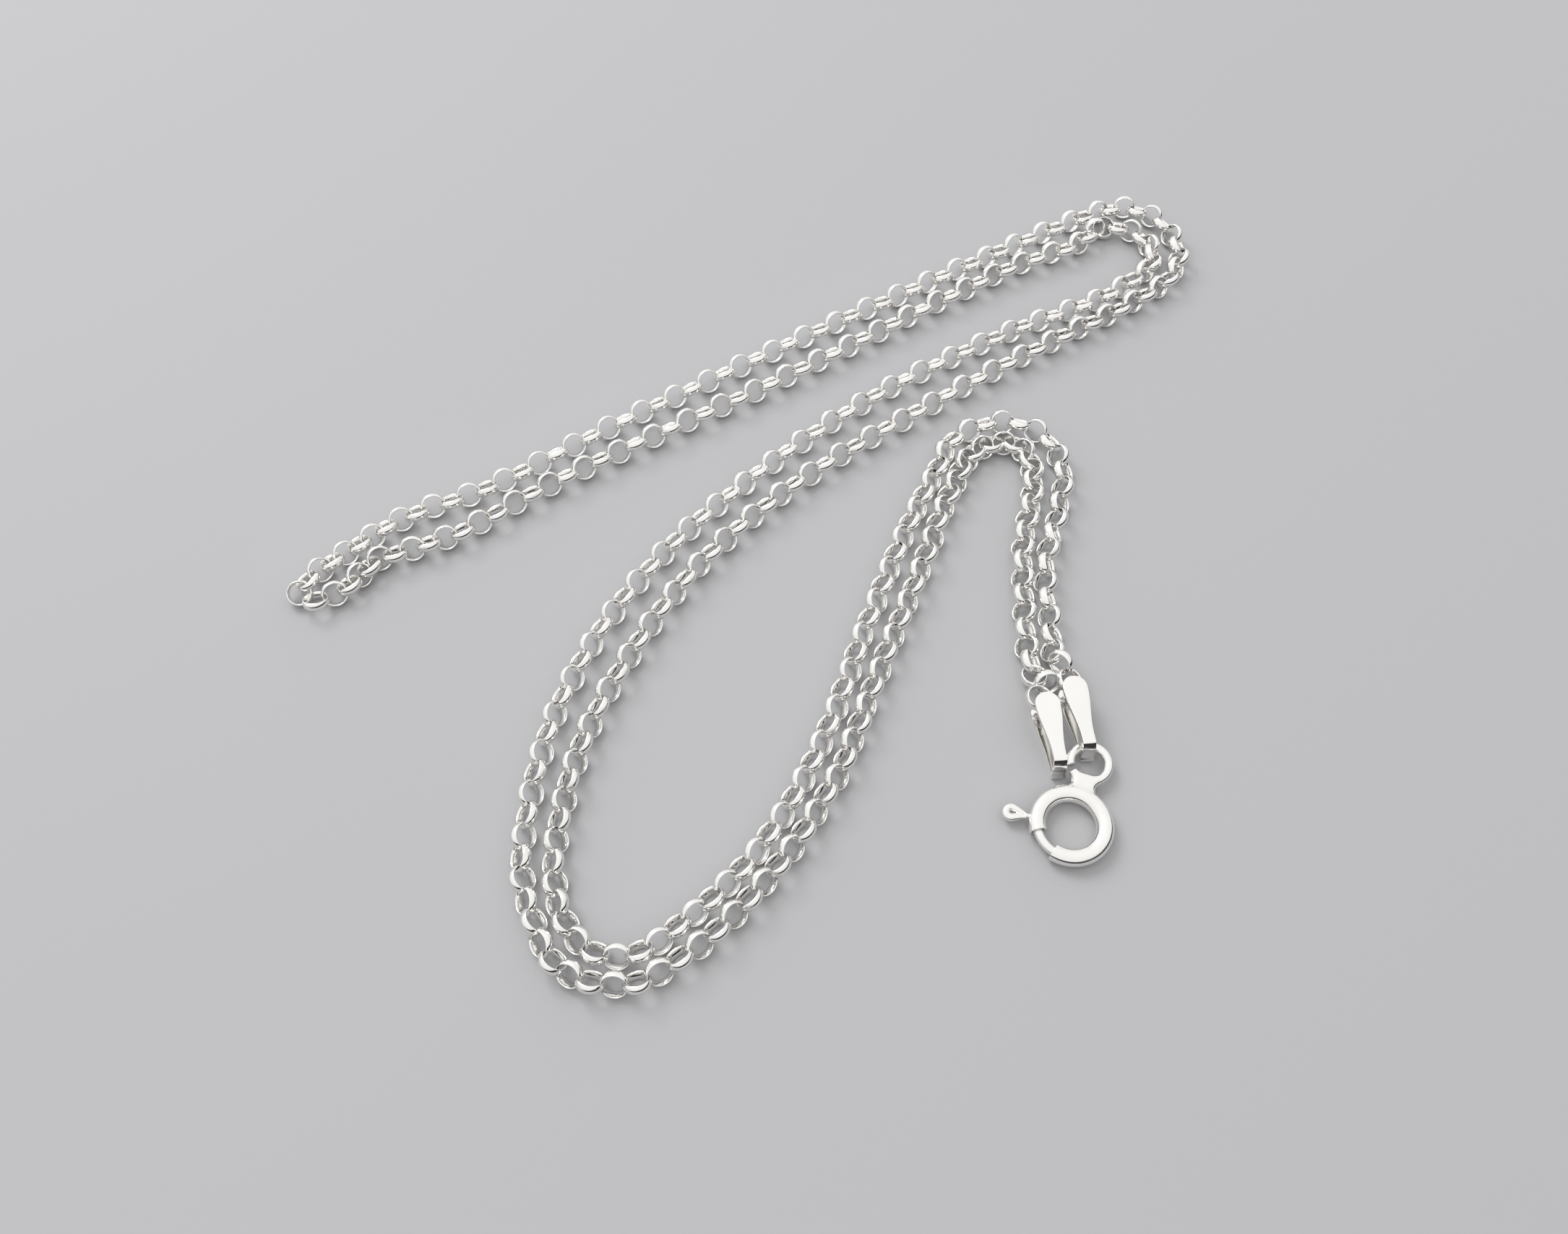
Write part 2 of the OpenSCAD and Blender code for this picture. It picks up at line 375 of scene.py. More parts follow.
def turned(target: bmesh.types.BMesh, profile: Sequence[tuple[float, float]], start: float = 0,
           sweep: float = 360, steps: int = 96) -> None:
    """A closed profile turned about Z, with flat ends unless it goes all the way round.

    Args:
        target: The bmesh that takes the shape.
        profile: Its corners, each a distance from Z and a height.
        start: Angle of its first end.
        sweep: Angle that it turns through.
        steps: Rings in a whole turn; a part turn takes its share of them, three at least.
    """
    ring = [target.verts.new(along(start, reach) + Vector((0, 0, high))) for reach, high in profile]
    edges = [target.edges.new((a, b)) for a, b in zip(ring, ring[1:] + ring[:1])]
    bmesh.ops.spin(target, geom=ring + edges, cent=(0, 0, 0), axis=(0, 0, 1), dvec=(0, 0, 0),
                   angle=math.radians(sweep), steps=max(3, round(steps * sweep / 360)),
                   use_merge=sweep >= 360)
    if sweep < 360:
        bmesh.ops.holes_fill(target, edges=[e for e in target.edges if e.is_boundary], sides=0)
    bmesh.ops.recalc_face_normals(target, faces=target.faces)


def bar(target: bmesh.types.BMesh, bend_r: float, bar_r: float, start: float = 0, sweep: float = 360,
        sides: int = 24) -> None:
    """A round bar bent about Z, or a whole ring.

    Args:
        target: The bmesh that takes the bar.
        bend_r: Radius of its middle line.
        bar_r: Radius of the bar.
        start: Angle of its first end.
        sweep: Angle that it turns through.
        sides: Corners round the bar.
    """
    corners = [along(360 * k / sides, bar_r) for k in range(sides)]
    turned(target, [(bend_r + c.x, c.y) for c in corners], start, sweep)


@dataclass(frozen=True)
class Route:
    """The chain's way over the table: rows of plan x, plan y and link number, in millimetres.

    A smooth cubic curve joins the rows, and the links between two rows are spread along it by number.
    """

    rows: tuple[tuple[float, float, float], ...]

    def _step(self, row: int) -> Vector:
        """Mean way per link from a row to the next."""
        (x0, y0, n0), (x1, y1, n1) = self.rows[row], self.rows[row + 1]
        return Vector((x1 - x0, y1 - y0)) / (n1 - n0)

    def _heading(self, row: int) -> Vector:
        """Way per link along the curve at a row, weighted by the links on each side.

        Args:
            row: The row's index.

        Returns:
            The way in the plane of the table.
        """
        if row == 0:
            return self._step(0)
        if row == len(self.rows) - 1:
            return self._step(row - 1)
        before = self.rows[row][2] - self.rows[row - 1][2]
        after = self.rows[row + 1][2] - self.rows[row][2]
        return (self._step(row - 1) * after + self._step(row) * before) / (before + after)

    def at(self, link: float) -> Vector:
        """Where a link lies.

        Args:
            link: Its number, whole or between two links.

        Returns:
            Its place in the plane of the table.
        """
        row = max(r for r in range(len(self.rows) - 1) if r == 0 or self.rows[r][2] <= link)
        (x0, y0, n0), (x1, y1, n1) = self.rows[row], self.rows[row + 1]
        span = n1 - n0
        u = (link - n0) / span
        return (Vector((x0, y0)) * (1 + 2 * u) * (1 - u) ** 2
                + self._heading(row) * span * u * (1 - u) ** 2
                + Vector((x1, y1)) * u * u * (3 - 2 * u)
                + self._heading(row + 1) * span * u * u * (u - 1))

    def way(self, link: float) -> float:
        """Compass angle in degrees of the chord between a link's two neighbours."""
        chord = self.at(link + 1) - self.at(link - 1)
        return math.degrees(math.atan2(chord.y, chord.x))


ROUTE = Route((
    (19.25, -10.5, 1.9), (18.75, -8, 4.1), (18.75, -3, 7.8), (20, 1.5, 11.4), (20.75, 5, 14),
    (20, 7.75, 16.1), (18, 9.25, 18), (15.5, 9.25, 20), (13, 7.75, 22.1), (11.75, 5.25, 24.2),
    (9.5, 0.5, 28.2), (6.5, -7, 34.1), (3.5, -15.25, 40.4), (1.5, -19.5, 43.9), (-1.5, -24, 47.8),
    (-5.5, -27.75, 52), (-7.5, -29.25, 53.9), (-10.5, -29.25, 56.2), (-12, -27.75, 57.8),
    (-13, -25, 60.1), (-13, -21, 63.1), (-12, -16, 67), (-9.5, -10, 71.8), (-5, -2.75, 78),
    (0.5, 3, 83.9), (11.5, 11, 93.8), (21, 17, 102),
    (28.5, 21.5, 108.7), (30.5, 23, 110.6), (31.75, 24.75, 112.3), (32, 27, 114.2), (30.5, 30, 116.9),
    (28.5, 31, 118.8), (26, 30.5, 121.1), (22, 28.5, 124.5), (12, 23, 133), (1.5, 17, 141.7),
    (-11, 9.5, 152.2), (-21.5, 3, 161.1), (-25, 1.5, 164.1), (-29, -1.5, 168.6), (-31.5, -4, 172),
    (-32, -5, 173),
    (-30.75, -5.5, 174), (-29.5, -5, 175), (-28, -3.5, 177.1), (-27, -2.25, 178.9), (-25, -1.5, 180.8),
    (-22.5, -0.5, 183.1), (-16.5, 3.5, 188.4), (1.5, 14, 203.4), (13.5, 21.5, 213.8),
    (19.5, 25, 219), (24, 27, 222.8), (26.5, 29, 226), (28.5, 28.5, 227.9), (29.75, 27, 229.8),
    (29.75, 25, 232), (27, 22.5, 235), (18, 18, 243), (8.5, 12.5, 251.2), (-1.5, 4.5, 260.5),
    (-8, -2.5, 267.6), (-12, -9, 273.1), (-14.5, -16.5, 278.9), (-15, -20.5, 281.8),
    (-15, -24.5, 284.7), (-14, -27.5, 287), (-12.5, -30, 289.2), (-10.5, -31, 290.9),
    (-7.5, -31, 293.1), (-5, -29.5, 295.2), (0.5, -24, 301), (4, -18.5, 305.8), (7, -11, 311.8),
    (10, -3.5, 317.7), (12.5, 3, 322.9), (14.5, 6.75, 327), (16, 7.5, 329.2), (17.5, 7.5, 331),
    (18.5, 6, 333.1), (18.5, 4, 335.2), (17.25, -2, 340.6), (17, -6, 343.7), (17, -10, 346.8),
    (17.5, -11.75, 349),
))
FIRST_LINK = 2
FOLD_LINK = 172
LAST_LINK = 349


@dataclass(frozen=True)
class Loose:
    """A link that lies in its own way: its number, shift, tilt and the compass angle that it tilts to."""

    link: int
    dx: float
    dy: float
    tilt: float
    toward: float


LOOSE = (
    Loose(2, -0.2, 0.12, 70, -135),
    Loose(3, -0.38, -0.15, 46, 172),
    Loose(4, -0.15, -0.05, 46, 12),
    Loose(6, 0, 0, 58, 3),
    Loose(8, 0, 0, 58, -5),
    Loose(10, 0, 0, 57, 5),
    Loose(173, 0.05, 0.1, 28, -80),
    Loose(224, 0, 0, 35, 115),
    Loose(225, 0, 0, 75, -70),
    Loose(226, 0, 0, 25, -110),
    Loose(348, -0.02, -0.12, 14, 80),
    Loose(349, 0.45, 0.05, 60, -75),
)


@dataclass(frozen=True)
class Slump:
    """A stretch whose links lie flatter and more rolled over than the rest, most so at its middle link.

    The lean and the roll are added there in degrees, and fade to nothing over the reach in links.
    """

    link: float
    reach: float
    lean: float
    roll: float


SLUMPS = (
    Slump(link=175, reach=26, lean=-8, roll=8),
    Slump(link=330, reach=15, lean=-14, roll=3),
)


@dataclass
class LinkForm:
    """A round link bent from domed band, its sizes in millimetres.

    The shoulder, rim and inside of the band each have a radius and a distance from the band's middle. At
    the solder joint the band swells outwards, is shifted along itself and is spread to one side, each by a
    random amount. Corners that are near to each other or to a line count as level with it.
    """

    crest_r: float = 0.935
    shoulder: tuple[float, float] = (0.895, 0.17)
    rim: tuple[float, float] = (0.815, 0.3)
    inside: tuple[float, float] = (0.745, 0.25)
    rim_crease: float = 0.6
    joint_swell: tuple[float, float] = (-0.01, 0.05)
    joint_shift: float = 0.03
    joint_spread: tuple[float, float] = (-0.01, 0.04)
    near: float = 0.01
    steps: int = 14
    joints: int = 8
    seed: int = 11

    def rest_height(self, tilt: float) -> float:
        """How high a link's middle is when the link rests on the table.

        Args:
            tilt: How far its axis leans from upright, in degrees.

        Returns:
            The height of its middle.
        """
        lean = math.radians(tilt)
        corners = (self.shoulder, self.rim)
        return max(reach * math.sin(lean) + side * math.cos(lean) for reach, side in corners)

    def variants(self) -> list[bpy.types.Mesh]:
        """Makes a few copies that differ in their solder joint.

        Returns:
            Meshes in millimetres, standing on Z, each with its joint at +X.
        """
        draw = random.Random(self.seed)
        return [self._variant(n, draw) for n in range(self.joints)]

    def _variant(self, number: int, draw: random.Random) -> bpy.types.Mesh:
        """One link with a solder joint of its own size.

        Args:
            number: Its number; an odd one has the end of its band bent out above, an even one below.
            draw: The source of small differences.

        Returns:
            The link's mesh.
        """
        mesh = bmesh.new()
        # Subdivision leaves a corner three quarters of itself and an eighth of each neighbour, so a
        # polygon shrinks, and the section starts that much further out.
        swell = 1 / (0.75 + 0.25 * math.cos(2 * math.pi / self.steps))
        half = (self.shoulder, self.rim, self.inside)
        section = [(self.crest_r, 0.0)] + [(r, -z) for r, z in half] + [(r, z) for r, z in reversed(half)]
        turned(mesh, [(r * swell, z) for r, z in section], steps=self.steps)
        crease = mesh.edges.layers.float.new("crease_edge")
        for edge in mesh.edges:
            a, b = (v.co for v in edge.verts)
            if abs(a.z - b.z) < self.near and min(abs(a.z), abs(b.z)) > self.shoulder[1] + self.near:
                edge[crease] = self.rim_crease
        seam = mesh.verts.layers.float.new(SOLDER)
        at_joint = [v for v in mesh.verts if v.co.x > 0 and abs(v.co.y) < self.near]
        for vert in at_joint:
            vert[seam] = 1.0
        side = 1 if number % 2 else -1
        proud = [v for v in at_joint if v.co.x > self.rim[0] * swell - self.near]
        shift = (draw.uniform(*self.joint_swell), draw.uniform(-self.joint_shift, self.joint_shift), 0)
        bmesh.ops.translate(mesh, vec=shift, verts=proud)
        ends = [v for v in at_joint if v.co.z * side > self.shoulder[1]]
        bmesh.ops.translate(mesh, vec=(0, 0, draw.uniform(*self.joint_spread) * side), verts=ends)
        data = bpy.data.meshes.new("link_form")
        mesh.to_mesh(data)
        mesh.free()
        return data


@dataclass
class ChainSide:
    """One half of the chain: loose links laid along the route, each crossing the next.

    The links' axes lean by turns to the left and to the right of the chain, from upright by the lean. The
    roll adds to it where an axis leans towards the viewer and takes from it where one leans away, and is
    stronger on the far side of the table.
    """

    name: str
    node: str
    first: int
    last: int
    form: LinkForm
    route: Route = ROUTE
    lean: float = 48.0
    roll: float = 3.0
    far_roll: float = 0.65
    far_from: float = 8.0
    shake: float = 4.0
    drift: float = 0.03
    turned_from: int = 174
    turned_to: int = 225
    levels: int = 1

    def odd_hand(self, link: int) -> Hand:
        """The hand that odd links lean to on a link's stretch, turned over between fold and far turn."""
        return Hand.RIGHT if self.turned_from <= link <= self.turned_to else Hand.LEFT

    def place(self, link: int, draw: random.Random) -> Matrix:
        """Where a link lies and how it stands.

        Args:
            link: Its number.
            draw: The half's own source of small differences.

        Returns:
            The matrix that takes the link form, standing on Z, to its place, in millimetres.
        """
        spot = self.route.at(link)
        hand = self.odd_hand(link) if link % 2 else self.odd_hand(link).other()
        toward = self.route.way(link) + 90 * hand.value
        lean = self.lean
        roll = self.roll + self.far_roll * max(0.0, spot.y - self.far_from)
        for slump in SLUMPS:
            near = max(0.0, 1 - abs(link - slump.link) / slump.reach)
            lean += slump.lean * near
            roll += slump.roll * near
        tilt = lean - roll * math.sin(math.radians(toward)) + draw.uniform(-self.shake, self.shake)
        toward += draw.uniform(-self.shake, self.shake)
        dx, dy = (draw.uniform(-self.drift, self.drift) for _ in range(2))
        turn = draw.uniform(0, 360)
        for own in LOOSE:
            if own.link == link:
                tilt, toward, dx, dy = own.tilt, own.toward, own.dx, own.dy
        return (Matrix.Translation((spot.x + dx, spot.y + dy, self.form.rest_height(tilt)))
                @ Matrix.Rotation(math.radians(toward), 4, "Z")
                @ Matrix.Rotation(math.radians(tilt), 4, "Y")
                @ Matrix.Rotation(math.radians(turn), 4, "Z"))

    def build(self, finish: bpy.types.Material) -> bpy.types.Object:
        """Lays the links and hands them to the frame.

        Args:
            finish: The chain's material.

        Returns:
            The piece, with all its links in one mesh.
        """
        draw = random.Random(self.first)
        forms = self.form.variants()
        mesh = bmesh.new()
        mesh.verts.layers.float.new(SOLDER)
        for link in range(self.first, self.last + 1):
            before = len(mesh.verts)
            mesh.from_mesh(draw.choice(forms))
            mesh.verts.ensure_lookup_table()
            bmesh.ops.transform(mesh, matrix=self.place(link, draw), verts=mesh.verts[before:])
        piece = SHOP.piece(self.name, mesh, finish)
        for form in forms:
            bpy.data.meshes.remove(form)
        SHOP.refine(piece, self.levels)
        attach(piece, NECKLACE)
        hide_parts(self.node)
        return piece


@dataclass
class EndLink:
    """The last link at one end, held by the post between a tag's heads.

    Its axis leans by tilt from upright towards a compass angle, both in degrees, and joint_turn, in
    radians, is where its solder joint has come to.
    """

    name: str
    node: str
    form: LinkForm
    toward: float
    tilt: float
    shift: tuple[float, float] = (0.0, 0.0)
    joint_turn: float = 2.4
    levels: int = 2

    def build(self, finish: bpy.types.Material) -> bpy.types.Object:
        """Puts the link where the frame has it, but for its small shift.

        Args:
            finish: The chain's material.

        Returns:
            The piece.
        """
        low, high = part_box(self.node)
        middle = (Vector(low) + Vector(high)) / 2 / MM + Vector((*self.shift, 0))
        mesh = bmesh.new()
        mesh.verts.layers.float.new(SOLDER)
        forms = self.form.variants()
        mesh.from_mesh(forms[0])
        for form in forms:
            bpy.data.meshes.remove(form)
        place = (Matrix.Translation(middle)
                 @ Matrix.Rotation(math.radians(self.toward), 4, "Z")
                 @ Matrix.Rotation(math.radians(self.tilt), 4, "Y")
                 @ Matrix.Rotation(self.joint_turn, 4, "Z"))
        bmesh.ops.transform(mesh, matrix=place, verts=mesh.verts)
        piece = SHOP.piece(self.name, mesh, finish)
        SHOP.refine(piece, self.levels)
        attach(piece, NECKLACE)
        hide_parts(self.node)
        return piece


@dataclass
class Tag:
    """A strip folded over a wire, its round heads held together by a post.

    It lies along its turn from the end of its heads, with a wall at the fold that starts in a flared foot
    and ends in a sloping facet. Sizes are in millimetres, and the steps of its bends in degrees. Each row
    of the flare is a share of the foot's reach and a rise.
    """

    name: str
    node: str
    end: tuple[float, float]
    turn: float
    head_end: float = 0.095
    length: float = 5.2
    head_w: float = 1.58
    fold_w: float = 0.82
    height: float = 1.9
    sheet: float = 0.25
    taper: float = 4.2
    fold_r: float = 0.2
    facet: float = 0.38
    facet_angle: float = 34.0
    facet_edge: float = 0.015
    fold_back: float = 0.17
    fold_skew: float = 7.0
    fold_step: int = 14
    foot_r: float = 0.3
    foot: float = 0.13
    foot_step: int = 18
    flare: tuple[tuple[float, float], ...] = ((0.75, 0.1), (0.2, 0.19), (0.0, 0.32))
    post_r: float = 0.25
    post_inset: float = 0.3
    post_sides: int = 24
    head_step: int = 10
    leaf_rows: int = 12
    strip_rows: int = 4
    rim_r: float = 0.05
    rim_steps: int = 3
    rim_angle: float = 50

    def _half_width(self, reach: float) -> float:
        """Half the strip's width along its leaves.

        Args:
            reach: Distance from the end of the head.

        Returns:
            The half width, round at the head and tapering to the fold.
        """
        head_r, fold = self.head_w / 2, self.fold_w / 2
        if reach < head_r:
            return math.sqrt(head_r ** 2 - (head_r - reach) ** 2)
        run = min((reach - head_r) / (self.taper - head_r), 1)
        return fold + (head_r - fold) * (1 + math.cos(math.pi * run)) / 2

    def _leaf(self, reach: float, high: float) -> list[tuple[float, float, float]]:
        """Middle line of a flat leaf from its head to where it bends.

        Args:
            reach: Where the leaf ends.
            high: Its height.

        Returns:
            Rows of reach, height and half width.
        """
        head_r = self.head_w / 2
        head_turns = range(self.head_step, 90, self.head_step)
        stops = [head_r * (1 - math.cos(math.radians(a))) for a in head_turns]
        stops += [head_r + (reach - head_r) * k / self.leaf_rows for k in range(self.leaf_rows + 1)]
        return [(r, high, self._half_width(r)) for r in stops]

    def _path(self) -> list[tuple[float, float, float]]:
        """Middle line of the strip from its lower head round the foot and the fold to its upper head.

        Returns:
            Rows of reach, height and half width.
        """
        mid, half = self.sheet / 2, self.fold_w / 2
        foot_from = self.length + self.foot - self.foot_r
        path = self._leaf(foot_from, mid)
        for turn in range(self.foot_step, 90 + self.foot_step, self.foot_step):
            bend = along(turn - 90, self.foot_r - mid)
            path.append((foot_from + bend.x, self.foot_r + bend.y, half))
        wall = Vector((self.length - mid, self.foot_r + self.flare[-1][1], 0))
        path += [(wall.x + self.foot * share, self.foot_r + rise, half) for share, rise in self.flare]
        across = along(self.facet_angle)
        down = Vector((across.y, -across.x, 0))
        top = Vector((self.length, self.height - self.fold_r, 0)) - down * self.facet
        top.x -= self.fold_r * (1 - across.x) + self.fold_back
        corner = Vector((top.x - self.fold_r * across.x, self.height - self.fold_r, 0))
        # Rows just above and below the facet's lower edge keep the facet and the wall flat in the shading.
        edge = corner + across * (self.fold_r - mid) + down * self.facet
        above = edge - down * self.facet_edge
        below = edge + (wall - edge).normalized() * (2 * self.facet_edge)
        path += [(row.x, row.y, half) for row in (below, edge, above)]
        for turn in range(round(self.facet_angle), 90, self.fold_step):
            bend = corner + along(turn, self.fold_r - mid)
            path.append((bend.x, bend.y, half))
        return path + self._leaf(corner.x, self.height - mid)[::-1]

    def build(self, finish: bpy.types.Material) -> bpy.types.Object:
        """Folds the strip, rounds its rims, adds the post and hands it to the frame.

        Args:
            finish: The tag's material.

        Returns:
            The piece.
        """
        path = self._path()
        slant = math.tan(math.radians(self.fold_skew))
        mesh = bmesh.new()
        # A grid of side 1 is bent along the path: its x picks a row, and its y a place across the strip.
        bmesh.ops.create_grid(mesh, x_segments=len(path) - 1, y_segments=self.strip_rows, size=0.5)
        for vert in mesh.verts:
            reach, high, half = path[round((vert.co.x + 0.5) * (len(path) - 1))]
            aside = vert.co.y * 2 * half
            skew = slant * max(0.0, (reach - self.taper) / (self.length - self.taper))
            vert.co = (self.head_end + reach + aside * skew, aside, high)
        bmesh.ops.recalc_face_normals(mesh, faces=mesh.faces)
        place = Matrix.Translation((*self.end, 0)) @ Matrix.Rotation(math.radians(self.turn), 4, "Z")
        bmesh.ops.transform(mesh, matrix=place, verts=mesh.verts)
        piece = SHOP.piece(self.name, mesh, finish)
        wall = piece.modifiers.new("wall", "SOLIDIFY")
        wall.thickness = self.sheet * MM
        wall.offset = 0.0
        wall.use_even_offset = True
        SHOP.bake(piece)
        post = bmesh.new()
        upright = Matrix.Translation((self.head_end + self.post_inset, 0, self.height / 2))
        grow(post, place @ upright, lambda m: bmesh.ops.create_cone(
            m, cap_ends=True, segments=self.post_sides, radius1=self.post_r, radius2=self.post_r,
            depth=self.height - self.sheet))
        SHOP.combine(piece, post, Merge.JOIN)
        rim = piece.modifiers.new("rim", "BEVEL")
        rim.width = self.rim_r * MM
        rim.segments = self.rim_steps
        rim.limit_method = "ANGLE"
        rim.angle_limit = math.radians(self.rim_angle)
        SHOP.bake(piece)
        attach(piece, NECKLACE)
        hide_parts(self.node)
        return piece


@dataclass
class Clasp:
    """The spring ring: its hollow ring with neck and loop, and the bolt that slides in it.

    Sizes are in millimetres. Angles are in degrees round the ring from the neck, and on the loop round it.
    The web that fills the neck runs between two distances from the ring's middle.
    """

    ring_r: float = 2.1
    tube_r: float = 0.57
    bore_r: float = 0.37
    neck_len: float = 0.2
    loop_r: float = 1.2
    loop_wire_r: float = 0.3
    loop_lift: float = 0.1
    turn: float = 68.7
    gap_from: float = 122
    gap_angle: float = 42
    bolt_r: float = 0.3
    bolt_seat: float = 10
    bolt_inside: float = 62
    bolt_travel: float = 53
    stem_angle: float = 98
    stem_r: float = 0.17
    stem_sides: int = 16
    slot_half: float = 0.22
    slot_margin: float = 8
    thumb_wire_r: float = 0.26
    thumb_w: float = 1.2
    thumb_len: float = 1.65
    leg_r: float = 0.15
    leg_part: float = 0.08
    root_gap: float = 0.06
    split_at: float = 126
    split_angle: float = 21.6
    web: tuple[float, float] = (2.3, 3.3)
    web_half: float = 0.42
    web_r: float = 0.34
    fillet: float = 0.3
    flow_r: float = 1.3
    flow_rounds: int = 20
    ring_grid: float = 0.04
    ring_passes: int = 8
    bolt_grid: float = 0.025
    bolt_passes: int = 6
    cut_over: float = 1.4
    ball_detail: int = 3

    def place(self) -> Matrix:
        """The clasp's own frame: middle of its ring, loop towards +X, in millimetres."""
        middle = Vector(frame["joints"][0]["pos_m"]) / MM
        return Matrix.Translation(middle) @ Matrix.Rotation(math.radians(self.turn), 4, "Z")

    def loop_at(self) -> Matrix:
        """The loop's middle in the clasp's frame."""
        reach = self.ring_r + self.tube_r + self.neck_len + self.loop_r + self.loop_wire_r
        return Matrix.Translation((reach, 0, self.loop_lift))

    def _ball(self, radius: float) -> Callable[[bmesh.types.BMesh], Any]:
        """Draws a small round ball for a hull."""
        return lambda mesh: bmesh.ops.create_icosphere(mesh, subdivisions=self.ball_detail, radius=radius)

    def _hull(self, target: bmesh.types.BMesh, balls: Iterable[tuple[Vector, float]]) -> None:
        """The skin stretched over a few balls.

        Args:
            target: The bmesh that takes it.
            balls: The centre and radius of each ball.
        """
        skin = bmesh.new()
        for centre, radius in balls:
            grow(skin, Matrix.Translation(centre), self._ball(radius))
        bmesh.ops.delete(skin, geom=skin.edges[:], context="EDGES_FACES")
        bmesh.ops.convex_hull(skin, input=skin.verts)
        bmesh.ops.delete(skin, geom=[v for v in skin.verts if not v.link_faces], context="VERTS")
        add(target, Matrix.Identity(4), skin)

    def build_ring(self, finish: bpy.types.Material) -> bpy.types.Object:
        """The ring with its neck and split loop, melted together, then bored and slotted.

        Args:
            finish: The clasp's material.

        Returns:
            The piece.
        """
        mesh = bmesh.new()
        bar(mesh, self.ring_r, self.tube_r)
        grow(mesh, self.loop_at(), lambda m: bar(m, self.loop_r, self.loop_wire_r))
        self._hull(mesh, [(Vector((reach, side * self.web_half, self.loop_lift / 2)), self.web_r)
                          for reach in self.web for side in (-1, 1)])
        bmesh.ops.transform(mesh, matrix=self.place(), verts=mesh.verts)
        piece = SHOP.piece("clasp_ring_tube", mesh, finish)
        SHOP.fuse(piece, self.ring_grid, self.ring_passes, self.fillet)
        neck = self.place() @ Vector((sum(self.web) / 2, 0, self.loop_lift / 2))
        SHOP.soften(piece, neck, self.flow_r, self.flow_rounds)
        centre = Matrix.Identity(4)
        split_from = self.split_at - self.split_angle / 2
        cuts = [
            (centre, lambda m: bar(m, self.ring_r, self.bore_r)),
            (centre, self._slot),
            (centre, lambda m: self._wedge(m, self.ring_r, self.tube_r, self.gap_from, self.gap_angle)),
            (self.loop_at(), lambda m: self._wedge(
                m, self.loop_r, self.loop_wire_r, split_from, self.split_angle)),
        ]
        for place, make in cuts:
            tool = bmesh.new()
            grow(tool, self.place() @ place, make)
            SHOP.combine(piece, tool, Merge.CUT)
        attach(piece, NECKLACE)
        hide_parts("clasp_ring")
        return piece

    def _wedge(self, target: bmesh.types.BMesh, ring_r: float, bar_r: float, start: float,
               sweep: float) -> None:
        """A block that cuts a gap through a ring.

        Args:
            target: The bmesh that takes it.
            ring_r: Radius of the ring's middle line.
            bar_r: Radius of its bar.
            start: Angle where the gap starts.
            sweep: Angle of the gap.
        """
        wide = bar_r * self.cut_over
        inner, outer = ring_r - wide, ring_r + wide
        turned(target, [(inner, -wide), (outer, -wide), (outer, wide), (inner, wide)], start, sweep)

    def _slot(self, target: bmesh.types.BMesh) -> None:
        """The curved slot on the ring's outside that the stem slides in.

        Args:
            target: The bmesh that takes it.
        """
        start = self.stem_angle - self.bolt_travel - self.slot_margin
        sweep = self.bolt_travel + 2 * self.slot_margin
        inner, outer, half = self.ring_r, self.ring_r + 2 * self.tube_r, self.slot_half
        turned(target, [(inner, -half), (outer, -half), (outer, half), (inner, half)], start, sweep)

    def build_bolt(self, finish: bpy.types.Material) -> bpy.types.Object:
        """The bent bolt with its stem and teardrop thumb-piece, melted together.

        Args:
            finish: The bolt's material.

        Returns:
            The piece.
        """
        mesh = bmesh.new()
        tail = self.gap_from - self.bolt_inside
        tip = self.gap_from + self.gap_angle + self.bolt_seat
        bar(mesh, self.ring_r, self.bolt_r, tail, tip - tail)
        outward = Matrix.Rotation(math.radians(self.stem_angle), 4, "Z")
        root = self.ring_r + self.tube_r + self.leg_r + self.root_gap
        bend_r = self.thumb_w / 2 - self.thumb_wire_r
        eye = self.ring_r + self.tube_r + self.thumb_len - self.thumb_w / 2
        stem = Matrix.Translation(((self.ring_r + root) / 2, 0, 0)) @ Matrix.Rotation(math.pi / 2, 4, "Y")
        grow(mesh, outward @ stem, lambda m: bmesh.ops.create_cone(
            m, cap_ends=True, segments=self.stem_sides, radius1=self.stem_r, radius2=self.stem_r,
            depth=root - self.ring_r))
        lean = math.asin(bend_r / (eye - root))
        reach = 90 + math.degrees(lean)
        grow(mesh, outward @ Matrix.Translation((eye, 0, 0)), lambda m: bar(
            m, bend_r, self.thumb_wire_r, -reach, 2 * reach))
        for side in (-1, 1):
            far = Vector((eye - bend_r * math.sin(lean), side * bend_r * math.cos(lean), 0))
            self._hull(mesh, [(outward @ Vector((root, side * self.leg_part, 0)), self.leg_r),
                              (outward @ far, self.thumb_wire_r)])
        bmesh.ops.transform(mesh, matrix=self.place(), verts=mesh.verts)
        piece = SHOP.piece("clasp_bolt_wire", mesh, finish)
        SHOP.fuse(piece, self.bolt_grid, self.bolt_passes)
        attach(piece, BOLT)
        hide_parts("bolt")
        return piece


